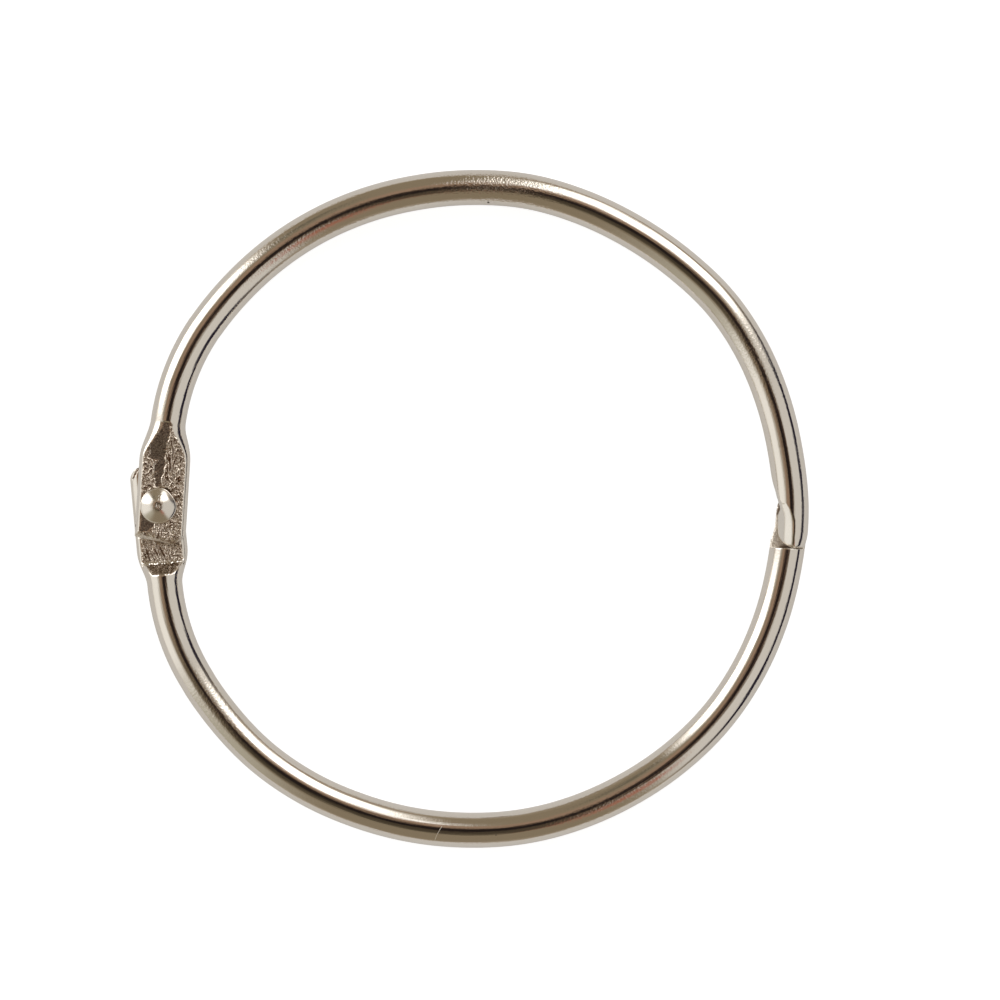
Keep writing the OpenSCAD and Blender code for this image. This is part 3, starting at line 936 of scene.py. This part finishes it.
def studio():
    """The room round the ring: dim warm walls, soft boxes left and upper right, pale screens."""
    world = bpy.data.worlds.new("studio")
    bpy.context.scene.world = world
    world.use_nodes = True
    tree = world.node_tree
    direction = tree.nodes.new("ShaderNodeTexCoord").outputs["Generated"]
    split = tree.nodes.new("ShaderNodeSeparateXYZ")
    link(tree, direction, split.inputs[0])
    bearing = math_node(tree, "ARCTAN2", split.outputs["Y"], split.outputs["X"])
    bearing = math_node(tree, "MULTIPLY", bearing, 180 / math.pi)
    fall = math_node(tree, "MULTIPLY", math_node(tree, "ARCCOSINE", split.outputs["Z"]), 180 / math.pi)
    panel = studio_panel_group()
    colour = None

    def add(tint, strength, middle, reach, soft, fall_middle, fall_reach, fall_soft):
        nonlocal colour
        p = put_group(tree, panel, Compass_Middle=middle, Compass_Reach=reach, Compass_Soft=soft,
                      Fall_Middle=fall_middle, Fall_Reach=fall_reach, Fall_Soft=fall_soft)
        link(tree, bearing, p.inputs["Bearing"])
        link(tree, fall, p.inputs["Fall"])
        node = tree.nodes.new("ShaderNodeMix")
        node.data_type = "RGBA"
        link(tree, p.outputs["Mask"], node.inputs["Factor"])
        if colour is None:
            node.inputs["A"].default_value = (*WALL, 1)
        else:
            link(tree, colour, node.inputs["A"])
        node.inputs["B"].default_value = (*[c * strength for c in tint], 1)
        colour = node.outputs["Result"]

    for values in STUDIO:
        add(*values)
    background = tree.nodes["Background"]
    link(tree, colour, background.inputs["Color"])
    # Seen directly, the room is plain white
    path = tree.nodes.new("ShaderNodeLightPath")
    white = tree.nodes.new("ShaderNodeBackground")
    white.inputs["Color"].default_value = (1, 1, 1, 1)
    shown = tree.nodes.new("ShaderNodeMixShader")
    link(tree, path.outputs["Is Camera Ray"], shown.inputs[0])
    link(tree, background.outputs[0], shown.inputs[1])
    link(tree, white.outputs[0], shown.inputs[2])
    link(tree, shown.outputs[0], tree.nodes["World Output"].inputs["Surface"])


WALL = (0.29, 0.24, 0.17)
# (tint, strength, compass middle, reach, soft, angle from overhead: middle, reach, soft)
STUDIO = [
    # the wall is a little lighter where it meets the table, and reddish tan high up
    ((0.52, 0.46, 0.38), 1.0, 0, 190, 1, 93, 8, 9),
    ((0.37, 0.25, 0.18), 1.0, 120, 75, 16, 22, 7, 7),
    ((0.17, 0.15, 0.11), 1.0, 121, 7, 5, 49, 8, 6),
    # right screen, and the dark gap under it
    ((0.75, 0.735, 0.71), 1.0, -12, 43, 7, 48, 31, 8),
    ((0.40, 0.33, 0.26), 1.0, 52, 26, 8, 85, 5, 4),
    ((0.022, 0.019, 0.036), 1.0, -6, 41, 10, 81.5, 10.5, 3.5),
    # left screen, and its dim lower end
    ((0.52, 0.50, 0.42), 1.0, 222, 14, 13, 66, 26, 10),
    ((1.06, 1.06, 1.04), 1.0, 192, 20, 9, 64, 26, 13),
    # soft box on the left
    ((0.98, 0.99, 1.0), 3.4, 152, 17, 8, 65, 19.5, 11),
    # soft box at the upper right
    ((0.98, 0.99, 1.0), 3.8, 57, 18, 13, 52, 18, 13),
    ((0.98, 0.99, 1.0), 1.5, 80, 7, 6, 36, 6, 6),
    # a reddish thing beside the camera
    ((0.50, 0.19, 0.14), 1.0, -72, 8, 6, 21, 9, 6),
    ((0.42, 0.17, 0.12), 1.0, -61, 8, 6, 36, 10, 8),
    # the dark ceiling, the unlit side towards the stand, and the camera itself
    ((0.10, 0.062, 0.046), 1.0, 0, 190, 1, 0, 14, 6),
    ((0.075, 0.06, 0.04), 1.0, 252, 44, 14, 16, 13, 9),
    ((0.018, 0.013, 0.012), 1.0, 0, 190, 1, 0, 8, 4),
]


def pale_floor():
    mesh = bpy.data.meshes.new("floor")
    half, z = 1.5, -(EAR_TOP + TAIL_H) * MM
    corners = [(-half, -half, z), (half, -half, z), (half, half, z), (-half, half, z)]
    mesh.from_pydata(corners, [], [(0, 1, 2, 3)])
    obj = bpy.data.objects.new("floor", mesh)
    bpy.context.scene.collection.objects.link(obj)
    material = bpy.data.materials.new("white_table")
    material.use_nodes = True
    tree = material.node_tree
    shader = tree.nodes["Principled BSDF"]
    shader.inputs["Base Color"].default_value = (0.42, 0.42, 0.42, 1)
    shader.inputs["Roughness"].default_value = 0.9
    shader.inputs["Specular IOR Level"].default_value = 0.0
    path = tree.nodes.new("ShaderNodeLightPath")
    in_metal = math_node(tree, "MULTIPLY", path.outputs["Is Glossy Ray"], 0.45)
    in_metal = math_node(tree, "MAXIMUM", in_metal, path.outputs["Is Transmission Ray"])
    seen = math_node(tree, "MAXIMUM", path.outputs["Is Camera Ray"], in_metal)
    shader.inputs["Emission Color"].default_value = (1, 1, 1, 1)
    link(tree, math_node(tree, "MULTIPLY", seen, 0.86), shader.inputs["Emission Strength"])
    clear = tree.nodes.new("ShaderNodeBsdfTransparent")
    shown = tree.nodes.new("ShaderNodeMixShader")
    link(tree, tree.nodes.new("ShaderNodeNewGeometry").outputs["Backfacing"], shown.inputs[0])
    link(tree, shader.outputs[0], shown.inputs[1])
    link(tree, clear.outputs[0], shown.inputs[2])
    link(tree, shown.outputs[0], tree.nodes["Material Output"].inputs["Surface"])
    mesh.materials.append(material)


def camera_above():
    """Straight above, turned by half a degree, with the ring a little left of the middle."""
    turn = math.radians(0.52)
    width = VIEW_W / PIXELS_PER_MM
    off_right = (VIEW_W / 2 - RING_AT_X) / PIXELS_PER_MM
    off_up = (RING_AT_Y - VIEW_W / 2) / PIXELS_PER_MM
    lens, sensor = 180, 36
    data = bpy.data.cameras.new("camera_above")
    data.lens, data.sensor_width = lens, sensor
    camera = bpy.data.objects.new("camera_above", data)
    bpy.context.scene.collection.objects.link(camera)
    camera.location = (
        (off_right * math.cos(turn) - off_up * math.sin(turn)) * MM,
        (off_right * math.sin(turn) + off_up * math.cos(turn)) * MM,
        width * lens / sensor * MM)
    camera.rotation_euler = (0, 0, turn)
    bpy.context.scene.camera = camera


# ---------------------------------------------------------------- putting it together

plating = plating_skin_group()
stamped = stamped_skin_group()
wire_materials = [
    bright_nickel(plating, "bright_nickel", flaws=plating_flaws_group()),
    stamped_nickel(stamped), sheared_nickel(stamped), filed_nickel(stamped)]

upper = half_ring(UPPER, "upper_half_wire", wire_materials, False)
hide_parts("upper_half_ring")
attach(upper, "upper_half")

lower = half_ring(LOWER, "lower_half_wire", wire_materials, True)
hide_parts("lower_half_ring")
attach(lower, "lower_half")

rivet = hinge_rivet([bright_nickel(plating, "rivet_nickel", 0.18, 0.3, 0.0)])
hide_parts("hinge_rivet")
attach(rivet, "lower_half")

pale_floor()
studio()
camera_above()
bpy.context.scene.view_settings.view_transform = "Standard"
